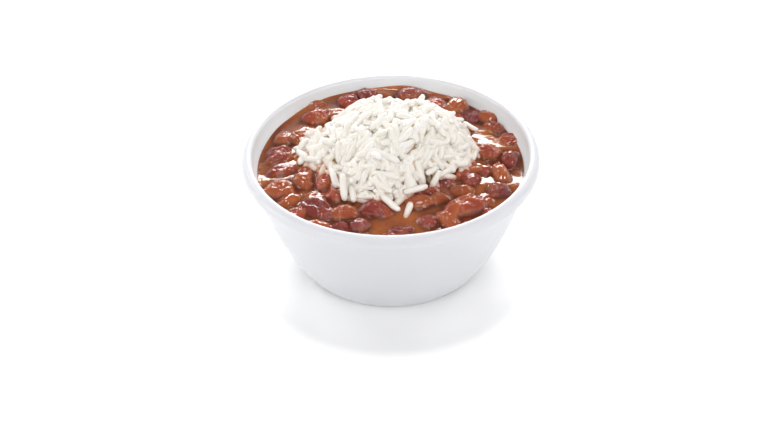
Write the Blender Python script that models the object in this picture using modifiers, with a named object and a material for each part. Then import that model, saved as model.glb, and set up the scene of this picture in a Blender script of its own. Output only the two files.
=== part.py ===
"""Red beans and rice in its bowl.

A plain turned bowl, the bean stew that fills it to below the rim, and the heap of rice that sits in the
stew. Metres, +Z up. The origin is the centre of the bowl's flat base, and the open side faces up.
"""

import math
import random

import bpy
from mathutils import Vector, noise

MM = 0.001

# Bowl. The wall is a smooth curve through a few stations, each a height and an outer radius.
BOWL_HEIGHT = 56.4 * MM
RIM_RADIUS = 65.0 * MM
CREST_RADIUS = 62.0 * MM
LIP_INNER_RADIUS = 60.5 * MM
BAND_HEIGHT = 5.0 * MM
BAND_ROUND = 0.6 * MM
CORNER_ROUND = 6.0 * MM
CORNER_TURN = 54.0
WALL = 2.5 * MM
FLOOR = 3.0 * MM
WALL_STATIONS = (
    (2.5 * MM, 41.8 * MM),
    (7.7 * MM, 45.2 * MM),
    (15.5 * MM, 49.3 * MM),
    (25.8 * MM, 53.7 * MM),
    (38.7 * MM, 58.3 * MM),
    (BOWL_HEIGHT - BAND_HEIGHT, 62.8 * MM),
)
BOWL_STEPS = 68

# Bean stew. It stands a little higher at the back (+Y), where beans are piled against the wall.
CLEARANCE = 0.3 * MM
STEW_EDGE_HEIGHT = 45.6 * MM
STEW_BACK_RISE = 3.4 * MM
STEW_RIPPLE = 0.5 * MM
BEAN_LENGTH = 15.0 * MM
BEAN_WIDTH = 9.0 * MM
BEAN_RELIEF = 2.8 * MM
BEAN_RINGS = ((36.5 * MM, 15), (45.0 * MM, 17), (53.5 * MM, 20))
BEAN_SEED = 7
STEW_STEPS = 88

# Rice heap: an uneven dome, wider than deep, seated in a shallow hollow of the stew.
RICE_CENTRE = (-2.0 * MM, 8.0 * MM)
RICE_HALF_WIDTH = 40.0 * MM
RICE_HALF_DEPTH = 34.0 * MM
RICE_TOP = 70.4 * MM
RICE_SHOULDER = 48.4 * MM
RICE_SEAT = 45.2 * MM
RICE_LUMP = 1.4 * MM
RICE_LUMP_SPACING = 10.0 * MM
RICE_STEPS = 64

POLE_MERGE = 0.01 * MM


def between(a, b, t):
    return a + (b - a) * t


def arc(centre, radius, start, end, count):
    """Points along a round in the profile plane, count equal steps, angles in degrees from +X."""
    points = []
    for step in range(count + 1):
        angle = math.radians(between(start, end, step / count))
        points.append((centre[0] + radius * math.cos(angle), centre[1] + radius * math.sin(angle)))
    return points


def outer_radius(height):
    """Cubic curve through the wall stations, each slope taken from the stations beside it."""
    stations = WALL_STATIONS
    last = len(stations) - 1
    height = min(max(height, stations[0][0]), stations[last][0])
    slopes = []
    for i in range(last + 1):
        low = stations[max(i - 1, 0)]
        high = stations[min(i + 1, last)]
        slopes.append((high[1] - low[1]) / (high[0] - low[0]))
    i = 0
    while i < last - 1 and height > stations[i + 1][0]:
        i += 1
    span = stations[i + 1][0] - stations[i][0]
    t = (height - stations[i][0]) / span
    start = (1 + 2 * t) * (1 - t) ** 2 * stations[i][1]
    start += t * (1 - t) ** 2 * span * slopes[i]
    end = t * t * (3 - 2 * t) * stations[i + 1][1]
    end += t * t * (t - 1) * span * slopes[i + 1]
    return start + end


def inner_radius(height):
    """The outer curve, squeezed into the height above the floor and drawn in by the wall."""
    share = (height - FLOOR) / (BOWL_HEIGHT - FLOOR)
    return outer_radius(share * BOWL_HEIGHT) - WALL


def corner(wall_radius, floor_height):
    """The round between a flat floor and the foot of a wall, from the wall down to the floor."""
    turn = math.radians(CORNER_TURN)
    centre = (wall_radius - CORNER_ROUND * math.sin(turn), floor_height + CORNER_ROUND)
    return arc(centre, CORNER_ROUND, CORNER_TURN - 90, -90, 3)


def material(name, colour, roughness, subsurface=0.0):
    mat = bpy.data.materials.new(name)
    mat.use_nodes = True
    mat.diffuse_color = (*colour, 1.0)
    shader = mat.node_tree.nodes["Principled BSDF"]
    shader.inputs["Base Color"].default_value = (*colour, 1.0)
    shader.inputs["Roughness"].default_value = roughness
    shader.inputs["Metallic"].default_value = 0.0
    shader.inputs["Subsurface Weight"].default_value = subsurface
    return mat


def turned(name, profile, steps, collection):
    """A profile that runs from the axis, down the outer side and back to the axis, turned round Z."""
    mesh = bpy.data.meshes.new(name)
    points = [(radius, 0.0, height) for radius, height in profile]
    mesh.from_pydata(points, [(i, i + 1) for i in range(len(points) - 1)], [])
    piece = bpy.data.objects.new(name, mesh)
    collection.objects.link(piece)
    screw = piece.modifiers.new("turn", "SCREW")
    screw.axis = "Z"
    screw.steps = steps
    screw.render_steps = steps
    screw.use_merge_vertices = True
    screw.merge_threshold = POLE_MERGE
    screw.use_smooth_shade = True
    return piece


def work_in_modifiers(piece):
    """Give the piece the mesh that its modifiers make, so that its vertices can be moved."""
    bpy.context.view_layer.update()
    evaluated = piece.evaluated_get(bpy.context.evaluated_depsgraph_get())
    mesh = bpy.data.meshes.new_from_object(evaluated)
    piece.modifiers.clear()
    piece.data = mesh
    mesh.name = piece.name


def make_bowl(collection):
    band_bottom = BOWL_HEIGHT - BAND_HEIGHT
    lip_round = RIM_RADIUS - CREST_RADIUS
    inner_round = CREST_RADIUS - LIP_INNER_RADIUS
    foot = WALL_STATIONS[0][0]

    profile = [(0.0, FLOOR)]
    profile += reversed(corner(inner_radius(FLOOR + foot), FLOOR))
    rows = 7
    for row in range(1, rows + 1):
        height = between(FLOOR + foot, band_bottom, row / rows)
        profile.append((inner_radius(height), height))
    profile += arc((CREST_RADIUS, BOWL_HEIGHT - inner_round), inner_round, 180, 90, 3)
    profile += arc((CREST_RADIUS, BOWL_HEIGHT - lip_round), lip_round, 90, 0, 5)[1:]
    profile.append((RIM_RADIUS, band_bottom + BAND_ROUND))
    profile.append((RIM_RADIUS - BAND_ROUND, band_bottom))
    rows = 8
    for row in range(rows):
        height = between(band_bottom, foot, row / rows)
        profile.append((outer_radius(height), height))
    profile += corner(outer_radius(foot), 0.0)
    profile.append((0.0, 0.0))

    bowl = turned("bowl", profile, BOWL_STEPS, collection)
    bowl.data.materials.append(material("bowl_white", (0.86, 0.86, 0.87), 0.4))


def rice_outline(bearing):
    """Distance from the heap's centre to its edge: an ellipse with soft bays and a blunt front tongue."""
    across = math.cos(bearing) / RICE_HALF_WIDTH
    along = math.sin(bearing) / RICE_HALF_DEPTH
    wobble = 0.05 * math.cos(3 * bearing - 0.5 * math.pi)
    wobble += 0.018 * math.cos(5 * bearing + 2.1) + 0.012 * math.cos(9 * bearing + 4.0)
    return (1.0 + wobble) / math.hypot(across, along)


def place_beans():
    """Rings of beans round the rice, each bean shifted, turned and sized by its own draw."""
    draw = random.Random(BEAN_SEED)
    beans = []
    for distance, count in BEAN_RINGS:
        for i in range(count):
            bearing = math.tau * (i + draw.uniform(-0.25, 0.25)) / count
            reach = distance + draw.uniform(-2.0, 2.0) * MM
            turn = draw.uniform(0.0, math.pi)
            size = draw.uniform(0.85, 1.1)
            beans.append((reach * math.cos(bearing), reach * math.sin(bearing), turn, size))
    return beans


def stew_height(x, y, beans):
    """The gravy's level, raised towards the back, with a smooth hump over every bean."""
    back = 0.5 + 0.5 * y / RIM_RADIUS
    level = STEW_EDGE_HEIGHT + STEW_BACK_RISE * back * back
    level += STEW_RIPPLE * noise.noise(Vector((x, y, 0.0)) / BEAN_LENGTH)
    hump = 0.0
    for bean_x, bean_y, turn, size in beans:
        along = (x - bean_x) * math.cos(turn) + (y - bean_y) * math.sin(turn)
        across = (y - bean_y) * math.cos(turn) - (x - bean_x) * math.sin(turn)
        along /= 0.5 * BEAN_LENGTH * size
        across /= 0.5 * BEAN_WIDTH * size
        hump = max(hump, math.exp(-1.5 * (along * along + across * across)))
    return level + BEAN_RELIEF * hump


def make_stew(collection):
    """Turned to fit the bowl with a flat top, whose rings are then drawn to the rice and raised."""
    bottom = FLOOR + CLEARANCE
    edge_radius = inner_radius(STEW_EDGE_HEIGHT) - CLEARANCE
    seat_radius = RICE_HALF_WIDTH
    bank_radius = seat_radius + CLEARANCE

    profile = [(0.0, RICE_SEAT), (seat_radius, RICE_SEAT)]
    rows = 9
    for row in range(rows + 1):
        profile.append((between(bank_radius, edge_radius, row / rows), STEW_EDGE_HEIGHT))
    foot = bottom + WALL_STATIONS[0][0]
    rows = 6
    for row in range(1, rows):
        height = between(STEW_EDGE_HEIGHT, foot, row / rows)
        profile.append((inner_radius(height) - CLEARANCE, height))
    profile += corner(inner_radius(foot) - CLEARANCE, bottom)
    profile.append((0.0, bottom))
    stew = turned("bean_stew", profile, STEW_STEPS, collection)
    work_in_modifiers(stew)

    beans = place_beans()
    for vertex in stew.data.vertices:
        x, y, z = vertex.co
        radius = math.hypot(x, y)
        bearing = math.atan2(y, x)
        away = Vector((math.cos(bearing), math.sin(bearing)))
        rice_edge = rice_outline(bearing) + CLEARANCE
        if abs(z - RICE_SEAT) < POLE_MERGE:
            # The seat: flat, and drawn to the outline of the rice.
            flat = Vector(RICE_CENTRE) + away * rice_edge * radius / seat_radius
        elif abs(z - STEW_EDGE_HEIGHT) < POLE_MERGE:
            # From the bank round the rice out to the wall, which the edge follows up, staying clear.
            share = (radius - bank_radius) / (edge_radius - bank_radius)
            bank = Vector(RICE_CENTRE) + away * (rice_edge + CLEARANCE)
            flat = bank.lerp(away * edge_radius, share)
            z = stew_height(flat.x, flat.y, beans)
            if share > 0.999:
                flat = away * (inner_radius(z) - CLEARANCE)
        else:
            continue
        vertex.co = (flat.x, flat.y, z)
    stew.data.materials.append(material("stew_brown", (0.23, 0.06, 0.03), 0.25, 0.1))


def make_rice(collection):
    """Turned as a plain drum with a ringed top, which is then raised to an uneven dome."""
    bottom = RICE_SEAT + CLEARANCE
    radius = RICE_HALF_WIDTH
    profile = []
    rows = 12
    for row in range(rows + 1):
        # Rings crowd towards the edge, where the dome falls away.
        profile.append((radius * math.sin(0.5 * math.pi * row / rows), RICE_SHOULDER))
    profile.append((radius, bottom))
    profile.append((0.0, bottom))
    rice = turned("rice_mound", profile, RICE_STEPS, collection)
    work_in_modifiers(rice)

    for vertex in rice.data.vertices:
        x, y, z = vertex.co
        share = min(math.hypot(x, y) / radius, 1.0)
        bearing = math.atan2(y, x)
        reach = share * rice_outline(bearing)
        x = RICE_CENTRE[0] + reach * math.cos(bearing)
        y = RICE_CENTRE[1] + reach * math.sin(bearing)
        if z > bottom + POLE_MERGE:
            dome = (1.0 - share * share) ** 0.55
            place = Vector((x, y, RICE_TOP))
            lump = noise.noise(place / RICE_LUMP_SPACING)
            lump += 0.5 * noise.noise(place / (0.4 * RICE_LUMP_SPACING))
            z = between(RICE_SHOULDER, RICE_TOP, dome) + RICE_LUMP * lump
        vertex.co = (x, y, z)
    rice.data.materials.append(material("rice_white", (0.87, 0.84, 0.76), 0.5, 0.2))


def main():
    for item in list(bpy.data.objects):
        bpy.data.objects.remove(item, do_unlink=True)
    collection = bpy.data.collections.new("red_beans_and_rice")
    bpy.context.scene.collection.children.link(collection)
    make_bowl(collection)
    make_stew(collection)
    make_rice(collection)


main()
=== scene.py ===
import bpy
import numpy as np
from mathutils import Matrix, Vector


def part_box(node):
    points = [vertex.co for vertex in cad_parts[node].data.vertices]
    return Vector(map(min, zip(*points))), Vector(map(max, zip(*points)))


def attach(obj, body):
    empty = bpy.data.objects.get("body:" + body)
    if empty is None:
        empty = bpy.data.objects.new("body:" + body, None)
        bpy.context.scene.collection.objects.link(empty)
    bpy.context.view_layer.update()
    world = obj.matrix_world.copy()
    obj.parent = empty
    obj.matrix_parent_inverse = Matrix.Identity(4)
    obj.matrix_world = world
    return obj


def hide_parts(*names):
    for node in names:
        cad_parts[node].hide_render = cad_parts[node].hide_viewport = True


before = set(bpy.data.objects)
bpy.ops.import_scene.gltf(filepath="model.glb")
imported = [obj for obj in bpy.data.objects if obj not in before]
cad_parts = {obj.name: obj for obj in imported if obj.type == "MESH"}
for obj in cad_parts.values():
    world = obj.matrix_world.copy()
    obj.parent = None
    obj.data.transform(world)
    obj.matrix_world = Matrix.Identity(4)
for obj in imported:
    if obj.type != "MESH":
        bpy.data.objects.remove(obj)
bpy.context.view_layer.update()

mm = 0.001
fullTurn = 2 * np.pi


def paint(red, green, blue):
    # Shown values from 0 to 255 as the linear ones that nodes take: ((c + 0.055) / 1.055) to the power 2.4
    shown = np.array((red, green, blue)) / 255
    return tuple(((shown + 0.055) / 1.055) ** 2.4) + (1.0,)


def smoothStep(low, high, value):
    # 0 below low, 1 above high, and 3t^2 - 2t^3 between them
    t = np.clip((value - low) / (high - low), 0, 1)
    return t * t * (3 - 2 * t)


def latticeNoise(points, spacing, seed):
    # Noise from -1 to 1: a drawn value at each lattice corner, blended along each axis by 6s^5 - 15s^4 +
    # 10s^3
    scaled = np.asarray(points, float) / spacing
    corner = np.floor(scaled).astype(np.int64)
    part = scaled - corner
    blend = part ** 3 * (part * (6 * part - 15) + 10)
    primes = np.array((73856093, 19349663, 83492791))[: scaled.shape[-1]]
    total = np.zeros(scaled.shape[:-1])
    for offset in np.ndindex(*(2,) * scaled.shape[-1]):
        mixed = ((corner + offset) @ primes + seed * 7919) & 0x7FFFFFFF
        mixed = ((mixed ^ (mixed >> 13)) * 1274126177) & 0x7FFFFFFF
        mixed = ((mixed ^ (mixed >> 15)) * 668265263) & 0x7FFFFFFF
        mixed = mixed ^ (mixed >> 12)
        weight = np.prod(np.where(np.array(offset) == 1, blend, 1 - blend), axis=-1)
        total += weight * (mixed / 0x3FFFFFFF - 1)
    return total


def layeredNoise(points, spacing, seed, layers=3):
    # Sum of noises, each half as wide and half as strong as the one before
    return sum(latticeNoise(points, spacing / 2 ** k, seed + k) / 2 ** k for k in range(layers))


def smoothTop(a, b, width):
    # The higher of a and b, with the corner between them filled: max(a, b) + (width - |a - b|)^2 / 4 width
    fill = np.clip(width - np.abs(a - b), 0, None)
    return np.maximum(a, b) + fill * fill / (4 * width)


def blurGrid(field, passes):
    # Each pass takes a quarter, a half and a quarter of three neighbours, along both axes
    for _ in range(passes):
        for side in (0, 1):
            field = 0.25 * np.roll(field, 1, side) + 0.5 * field + 0.25 * np.roll(field, -1, side)
    return field


def arcPath(centre, radius, startTurn, endTurn, count):
    # Points centre + radius (cos t, sin t) for t from start to end, in degrees
    turn = np.radians(np.linspace(startTurn, endTurn, count))
    return np.column_stack((centre[0] + radius * np.cos(turn), centre[1] + radius * np.sin(turn)))


def linePath(start, end, count):
    # Points start + t (end - start) for t from 0 up to, but not including, 1
    share = np.arange(count)[:, None] / count
    return np.array(start) + share * (np.array(end) - np.array(start))


def evenBearings(count):
    # Bearings round the axis, a full turn in count steps
    return fullTurn * np.arange(count) / count


def ringPoints(radius, bearing, height):
    # Points (radius cos bearing, radius sin bearing, height)
    return np.stack((radius * np.cos(bearing), radius * np.sin(bearing), height + 0 * bearing), axis=-1)


def shellFaces(rows, around):
    # Faces of a closed skin of one pole, rows rings of points, and the other pole.
    # A row's direction crossed with a ring's points outwards.
    ring = 1 + np.arange(rows * around).reshape(rows, around)
    beside = np.roll(ring, -1, axis=1)
    quads = np.stack((ring[:-1], ring[1:], beside[1:], beside[:-1]), axis=-1).reshape(-1, 4)
    first = np.stack((np.zeros(around, int), ring[0], beside[0]), axis=-1)
    last = np.stack((np.full(around, rows * around + 1), beside[-1], ring[-1]), axis=-1)
    return quads, np.concatenate((first, last))


def repeatFaces(faces, count, pointsEach):
    # The same faces for count copies, each pointsEach points further on
    return (faces[None] + pointsEach * np.arange(count)[:, None, None]).reshape(-1, faces.shape[1])


def makePiece(name, points, quads, triangles, finish, attributes):
    # Points in millimetres, faces as arrays of point numbers, attributes as one value or colour a point
    mesh = bpy.data.meshes.new(name)
    mesh.vertices.add(len(points))
    mesh.vertices.foreach_set("co", (points * mm).astype(np.float32).ravel())
    corners = np.concatenate((quads.ravel(), triangles.ravel())).astype(np.int32)
    starts = np.concatenate((4 * np.arange(len(quads)), quads.size + 3 * np.arange(len(triangles))))
    mesh.loops.add(len(corners))
    mesh.loops.foreach_set("vertex_index", corners)
    mesh.polygons.add(len(starts))
    mesh.polygons.foreach_set("loop_start", starts.astype(np.int32))
    mesh.polygons.foreach_set("use_smooth", np.ones(len(starts), bool))
    mesh.update(calc_edges=True)
    mesh.validate()
    for label, values in attributes.items():
        kind, field = ("FLOAT_COLOR", "color") if values.ndim == 2 else ("FLOAT", "value")
        layer = mesh.attributes.new(label, kind, "POINT")
        layer.data.foreach_set(field, values.astype(np.float32).ravel())
    mesh.materials.append(finish)
    piece = bpy.data.objects.new(name, mesh)
    bpy.context.scene.collection.objects.link(piece)
    print(f"{name}: {2 * len(quads) + len(triangles)} triangles")
    return piece


def newFinish(name):
    # A material, its node tree and its shader
    finish = bpy.data.materials.new(name)
    finish.use_nodes = True
    return finish, finish.node_tree, finish.node_tree.nodes["Principled BSDF"]


def setInputs(tree, node, values):
    # Inputs by name or number: each takes a link from another node's output, or a plain value
    for key, value in values.items():
        if isinstance(value, bpy.types.NodeSocket):
            tree.links.new(value, node.inputs[key])
        else:
            node.inputs[key].default_value = value


def addNode(tree, kind, values, **settings):
    # One node with its own settings and inputs
    node = tree.nodes.new(kind)
    for key, value in settings.items():
        setattr(node, key, value)
    setInputs(tree, node, values)
    return node


def addNoise(tree, perMetre, detail, roughness=0.5):
    # Noise on Object coordinates, perMetre cells to the metre
    place = addNode(tree, "ShaderNodeTexCoord", {}).outputs["Object"]
    values = {"Vector": place, "Scale": perMetre, "Detail": detail, "Roughness": roughness}
    return addNode(tree, "ShaderNodeTexNoise", values).outputs["Fac"]


def addRange(tree, source, fromLow, fromHigh, toLow, toHigh):
    # toLow at fromLow and toHigh at fromHigh, straight between them and held beyond them
    values = {0: source, 1: fromLow, 2: fromHigh, 3: toLow, 4: toHigh}
    return addNode(tree, "ShaderNodeMapRange", values).outputs["Result"]


def addMix(tree, share, first, second):
    # Colour first + share (second - first)
    return addNode(tree, "ShaderNodeMix", {0: share, 6: first, 7: second}, data_type="RGBA").outputs[2]


def addAttribute(tree, label, output="Fac"):
    # One of the piece's own values a point, or its colour
    return addNode(tree, "ShaderNodeAttribute", {}, attribute_name=label).outputs[output]


def addBump(tree, height, strength, distance, before=None):
    # The normal, tilted by the height's slope, on top of the bump before it
    values = {"Height": height, "Strength": strength, "Distance": distance}
    if before is not None:
        values["Normal"] = before
    return addNode(tree, "ShaderNodeBump", values).outputs["Normal"]


_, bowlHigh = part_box("bowl")
rimRadius = bowlHigh.x / mm
bowlHeight = bowlHigh.z / mm

bowlPlan = {
    "stations": ((2.5, 41.8), (7.7, 45.2), (15.5, 49.3), (25.8, 53.7), (38.7, 58.3), (51.4, 62.8)),
    "crest": 3.0,         # rim's widest edge in to the top of the lip
    "lipRound": 1.5,      # round on the inner side of the lip
    "band": 5.0,          # height of the band round the rim
    "bandRound": 0.6,
    "bandGap": 0.4,       # the lip's round down to the band's first ring
    "fillet": 0.5,        # round between the band's underside and the wall
    "filletIn": 1.6,      # its middle, in from the rim's widest edge
    "wallTop": 0.6,       # how far below the band the wall starts
    "wall": 2.5,
    "floor": 3.0,
    "corner": 6.0,        # round between base and wall
    "cornerTurn": 54.0,
    "around": 256,
    "rows": 26,           # rows up each side of the wall
    "floorRows": 5,
}


def outerRadius(height):
    # Cubic curve through the stations: each slope is taken across the stations on both sides
    heights, radii = np.array(bowlPlan["stations"]).T
    low = np.maximum(np.arange(len(heights)) - 1, 0)
    high = np.minimum(np.arange(len(heights)) + 1, len(heights) - 1)
    slopes = (radii[high] - radii[low]) / (heights[high] - heights[low])
    height = np.clip(height, heights[0], heights[-1])
    i = np.clip(np.searchsorted(heights, height, side="right") - 1, 0, len(heights) - 2)
    span = heights[i + 1] - heights[i]
    t = (height - heights[i]) / span
    start = (1 + 2 * t) * (1 - t) ** 2 * radii[i] + t * (1 - t) ** 2 * span * slopes[i]
    return start + t * t * (3 - 2 * t) * radii[i + 1] + t * t * (t - 1) * span * slopes[i + 1]


def innerRadius(height):
    # The outer curve squeezed into the height above the floor, less the wall
    share = (np.asarray(height) - bowlPlan["floor"]) / (bowlHeight - bowlPlan["floor"])
    return outerRadius(share * bowlHeight) - bowlPlan["wall"]


def cornerPath(wallRadius, floorHeight, count):
    # Round from the foot of a wall down to a flat floor
    turn = bowlPlan["cornerTurn"]
    across = bowlPlan["corner"] * np.sin(np.radians(turn))
    centre = (wallRadius - across, floorHeight + bowlPlan["corner"])
    return arcPath(centre, bowlPlan["corner"], turn - 90, -90, count)


def turnProfile(profile, around):
    # Profile of radius r and height z, carried round the axis: (r cos a, r sin a, z). Its two ends are on
    # the axis.
    rings = ringPoints(profile[1:-1, 0, None], evenBearings(around), profile[1:-1, 1, None])
    poles = [[[0, 0, profile[k, 1]]] for k in (0, -1)]
    return np.concatenate((poles[0], rings.reshape(-1, 3), poles[1]))


def makeBowl(finish):
    # One profile, from the middle of the floor up the inside, over the lip, round the band, down the outside
    # and in under the base, turned round the axis
    plan = bowlPlan
    foot = plan["stations"][0][0]
    bandBottom = bowlHeight - plan["band"]
    crestRadius = rimRadius - plan["crest"]
    up = np.linspace(plan["floor"] + foot, bandBottom, plan["rows"])
    down = np.linspace(bandBottom - plan["wallTop"], foot, plan["rows"])
    insideCorner = cornerPath(innerRadius(up[0]), plan["floor"], 8)[::-1]
    outsideCorner = cornerPath(outerRadius(foot), 0.0, 8)
    bandTop = bowlHeight - plan["crest"] - plan["bandGap"]
    bandRound, fillet = plan["bandRound"], plan["fillet"]
    profile = np.concatenate((
        linePath((0, plan["floor"]), insideCorner[0], plan["floorRows"]),
        insideCorner,
        np.column_stack((innerRadius(up), up))[1:],
        arcPath((crestRadius, bowlHeight - plan["lipRound"]), plan["lipRound"], 180, 90, 8),
        arcPath((crestRadius, bowlHeight - plan["crest"]), plan["crest"], 90, 0, 12)[1:],
        linePath((rimRadius, bandTop), (rimRadius, bandBottom + bandRound), 2),
        arcPath((rimRadius - bandRound, bandBottom + bandRound), bandRound, 0, -90, 5),
        arcPath((rimRadius - plan["filletIn"], bandBottom - fillet), fillet, 90, 170, 4),
        np.column_stack((outerRadius(down), down)),
        outsideCorner[1:],
        linePath((outsideCorner[-1][0] * 0.8, 0.0), (0, 0), plan["floorRows"]),
        [(0, 0)],
    ))
    points = turnProfile(profile, plan["around"])
    # 1 on the inside, fading to 0 over the crest: the mask of the painted light on the inside
    rings = len(profile) - 2
    lipRing = plan["floorRows"] + len(insideCorner) + len(up)
    inside = 1 - smoothStep(lipRing - 4, lipRing + 3, np.arange(rings))
    inside = np.concatenate(([1], np.repeat(inside, plan["around"]), [0]))
    quads, triangles = shellFaces(rings, plan["around"])
    return makePiece("bowl_shell", points, quads, triangles, finish, {"inside": inside})


def bowlFinish():
    # Satin white, faintly clouded and with a fine grain; painted light makes it paler and bluer inside than
    # outside
    finish, tree, shader = newFinish("satinWhite")
    cloud = addNoise(tree, 38, 3)
    outside = addMix(tree, cloud, paint(211, 212, 216), paint(215, 215, 219))
    # Painted light: a paler, bluer copy of the same white, for the inside wall
    paintedLitInside = addMix(tree, cloud, paint(239, 247, 252), paint(242, 249, 253))
    setInputs(tree, shader, {
        "Base Color": addMix(tree, addAttribute(tree, "inside"), outside, paintedLitInside),
        "Roughness": addRange(tree, addNoise(tree, 160, 4, 0.6), 0.3, 0.7, 0.3, 0.42),
        "Normal": addBump(tree, addNoise(tree, 1500, 3), 0.06, 0.0002),
        "IOR": 1.48,
        "Subsurface Weight": 0.4,
        "Subsurface Radius": (0.004, 0.004, 0.004),
        "Subsurface Scale": 1.0,
    })
    return finish


bowl = makeBowl(bowlFinish())
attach(bowl, "root")
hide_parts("bowl")


heapPlan = {
    "centre": (-2.1, 9.4),
    "halfWidth": 40.6,
    "halfDepth": 31.0,
    # bays of the edge: waves to a turn, and their cosine and sine share
    "bays": ((2, -0.10, -0.03), (3, 0.05, 0.015), (4, 0.08, 0.01), (5, -0.04, 0.0), (9, 0.01, 0.01)),
    "shoulder": 48.4,
    "top": 69.4,
    "cap": 68.8,          # the flat of the top
    "fall": 0.81,         # power of the dome: smaller is flatter on top
    "lean": 0.54,         # how much fuller it is to the right
    "capRound": 3.0,
    "lump": 1.8,          # height of the broad lumps
    "lumpSpacing": 8.0,
    "blur": 5,            # passes that smooth the ground which the grains make
}


def heapEdge(bearing):
    # Distance from the heap's centre to its edge: an ellipse times 1 + the sum of the bays
    plan = heapPlan
    wobble = sum(c * np.cos(k * bearing) + s * np.sin(k * bearing) for k, c, s in plan["bays"])
    return (1 + wobble) / np.hypot(np.cos(bearing) / plan["halfWidth"], np.sin(bearing) / plan["halfDepth"])


def heapShare(x, y):
    # 0 at the heap's centre and 1 at its edge
    dx, dy = x - heapPlan["centre"][0], y - heapPlan["centre"][1]
    return np.hypot(dx, dy) / heapEdge(np.arctan2(dy, dx))


levelPlan = {
    "edge": 45.9,         # gravy's height at the sides and front
    "reach": 58.0,        # radius at which the crown has gone
    "half": 60.0,         # distance over which back and tilt grow
    "backRise": 4.4,
    "backFall": 1.0,      # how much lower the right of the back is than the left
    "crown": 1.8,         # how much higher it stands in the middle
    "wave": 0.22,
    "waveSpacing": 16.0,
    "smearBearing": 84.0, # where gravy was pushed up the back wall
    "smearWidth": 9.0,    # in degrees
    "smearRise": 1.2,
    "poolRise": 0.8,      # height of a pool over the level, at its middle
    "poolRipple": 0.16,
    "poolRippleSpacing": 3.0,
    # pools that lie open to the light from behind: x, y, half width, half depth, slope
    "pools": (
        (-27.3, 44.0, 8.5, 6.0, 0.15),
        (-4.7, 56.0, 5.5, 3.0, 0.14),
        (8.9, 56.0, 4.6, 3.0, 0.14),
        (-38.9, 28.4, 10.0, 7.5, 0.15),
        (44.2, 20.0, 12.5, 12.0, 0.15),
        (-47.7, -8.0, 8.5, 5.0, 0.16),
        (-46.9, 2.4, 7.0, 3.8, 0.15),
        (-46.8, 10.6, 5.5, 3.2, 0.14),
        (47.5, -12.4, 9.5, 5.5, 0.155),
        (52.8, 13.3, 3.5, 2.2, 0.12),
        (46.1, 27.1, 6.0, 2.2, 0.12),
        (24.7, 52.5, 4.5, 2.2, 0.14),
    ),
}


def gravyLevel(x, y):
    # Edge height, plus crown (1 - r^2 / reach^2), plus rise (1/2 + y / 2 half)^3, less a tilt to the right
    # that grows to the back, plus slow waves, plus (rise - slope (y - pool's y)) exp(-distance^2) at each
    # pool
    plan = levelPlan
    flat = np.stack((x, y), axis=-1)
    back = np.clip(0.5 + 0.5 * y / plan["half"], 0, 1)
    level = plan["edge"] + plan["backRise"] * back ** 3 - plan["backFall"] * back ** 2 * x / plan["half"]
    level = level + plan["crown"] * (1 - (x * x + y * y) / plan["reach"] ** 2)
    ripple = plan["poolRipple"] * latticeNoise(flat, plan["poolRippleSpacing"], 6)
    for poolX, poolY, wide, deep, slope in plan["pools"]:
        away = ((x - poolX) / wide) ** 2 + ((y - poolY) / deep) ** 2
        level = level + (plan["poolRise"] - slope * (y - poolY) + ripple) * np.exp(-away)
    return level + plan["wave"] * latticeNoise(flat, plan["waveSpacing"], 5)


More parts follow.
